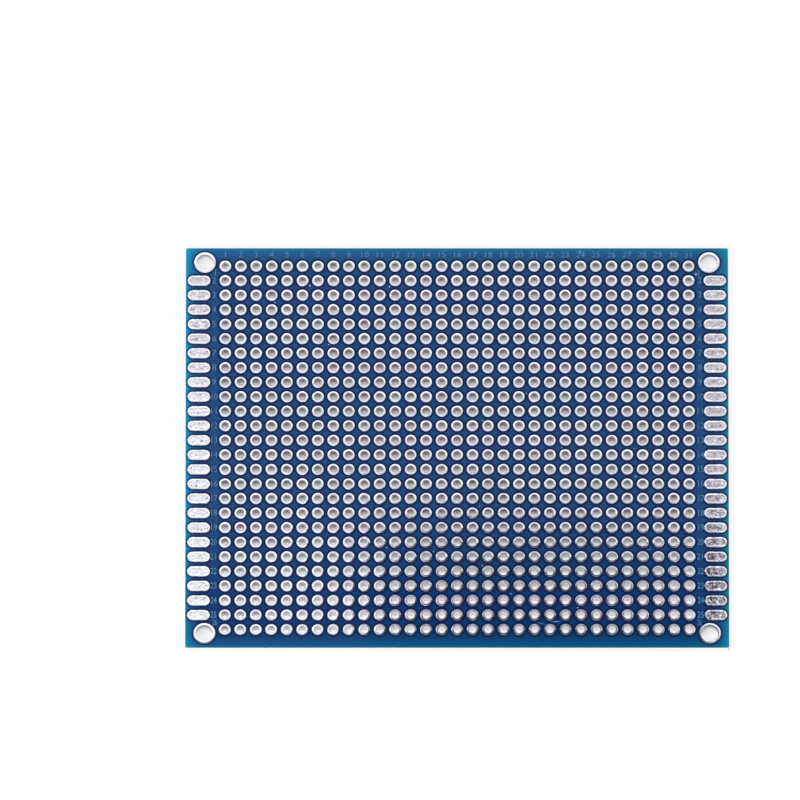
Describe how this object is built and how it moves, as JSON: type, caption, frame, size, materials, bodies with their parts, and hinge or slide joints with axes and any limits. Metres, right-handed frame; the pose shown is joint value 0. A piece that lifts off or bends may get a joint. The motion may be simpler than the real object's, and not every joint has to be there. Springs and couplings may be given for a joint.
{
  "type": "prototype board",
  "caption": "Flat rectangular prototype board with a square grid of plated lead holes, solder lands along both short edges and a plated mounting hole in each corner.",
  "frame": {"origin": "centre of the board's outline, on the plane of the back face's solder, on which the board lies", "axes": "+Z out of the front face; +X along the longer side, to the right as the picture shows it; +Y along the shorter side, to the top of the picture"},
  "size_m": [0.0892, 0.0698, 0.0016],
  "materials": {
    "laminate": "glass-fibre epoxy laminate, matt on its cut edges",
    "solder_mask": "blue lacquer, satin to glossy",
    "solder": "bright tinned copper"
  },
  "bodies": {
    "root": {"laminate": "laminate", "solder_mask_front": "solder_mask", "solder_mask_back": "solder_mask", "mounting_hole_plating": "solder", "edge_lands_front_left": "solder", "edge_lands_front_right": "solder", "edge_lands_back_left": "solder", "edge_lands_back_right": "solder", "plated_holes_row_01": "solder", "plated_holes_row_02": "solder", "plated_holes_row_03": "solder", "plated_holes_row_04": "solder", "plated_holes_row_05": "solder", "plated_holes_row_06": "solder", "plated_holes_row_07": "solder", "plated_holes_row_08": "solder", "plated_holes_row_09": "solder", "plated_holes_row_10": "solder", "plated_holes_row_11": "solder", "plated_holes_row_12": "solder", "plated_holes_row_13": "solder", "plated_holes_row_14": "solder", "plated_holes_row_15": "solder", "plated_holes_row_16": "solder", "plated_holes_row_17": "solder", "plated_holes_row_18": "solder", "plated_holes_row_19": "solder", "plated_holes_row_20": "solder", "plated_holes_row_21": "solder", "plated_holes_row_22": "solder", "plated_holes_row_23": "solder", "plated_holes_row_24": "solder", "plated_holes_row_25": "solder", "plated_holes_row_26": "solder"}
  },
  "joints": []
}
